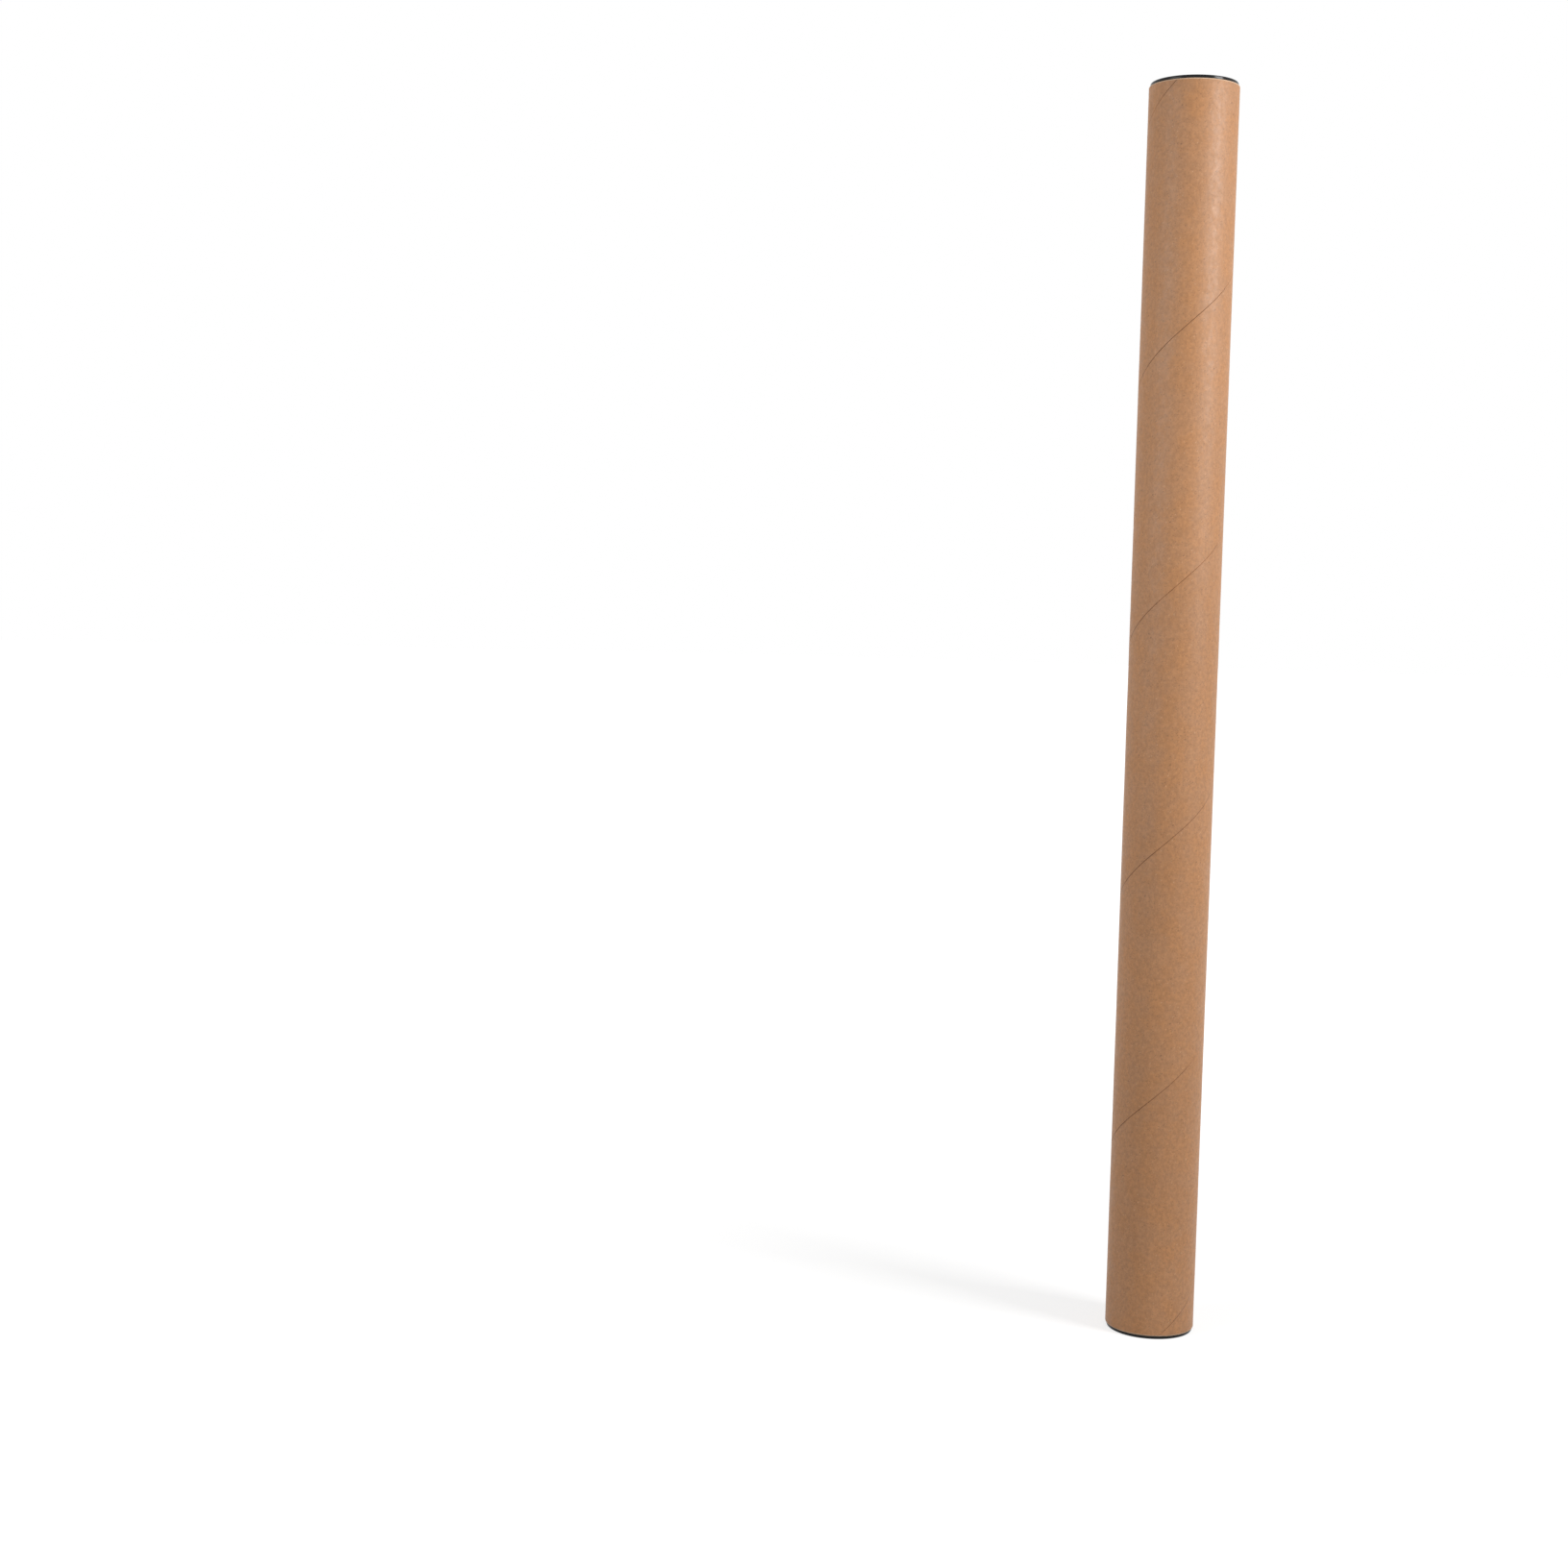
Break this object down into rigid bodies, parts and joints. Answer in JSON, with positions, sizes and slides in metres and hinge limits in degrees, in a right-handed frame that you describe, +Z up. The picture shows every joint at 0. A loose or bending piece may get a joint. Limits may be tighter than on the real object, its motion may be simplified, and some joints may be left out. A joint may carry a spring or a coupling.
{
  "type": "cardboard mailing tube",
  "caption": "Spirally wound kraft paperboard mailing tube standing on end, closed at head and foot by recessed black plastic plug caps that pull out.",
  "frame": {"origin": "centre of the lower cap's flange, on the surface that the tube stands on", "axes": "+Z up along the tube's axis, +X and +Y across it"},
  "size_m": [0.0434, 0.0434, 0.6128],
  "materials": {
    "kraft_paperboard": "matte",
    "black_plastic": "satin"
  },
  "bodies": {
    "tube": {"paperboard_tube": "kraft_paperboard"},
    "top_cap": {"top_cap": "black_plastic"},
    "bottom_cap": {"bottom_cap": "black_plastic"}
  },
  "joints": [
    {"name": "top_cap_pull", "type": "slide", "parent": "tube", "child": "top_cap", "axis": [0, 0, 1], "range_m": [0, 0.05]},
    {"name": "bottom_cap_pull", "type": "slide", "parent": "tube", "child": "bottom_cap", "axis": [0, 0, -1], "range_m": [0, 0.05]}
  ]
}
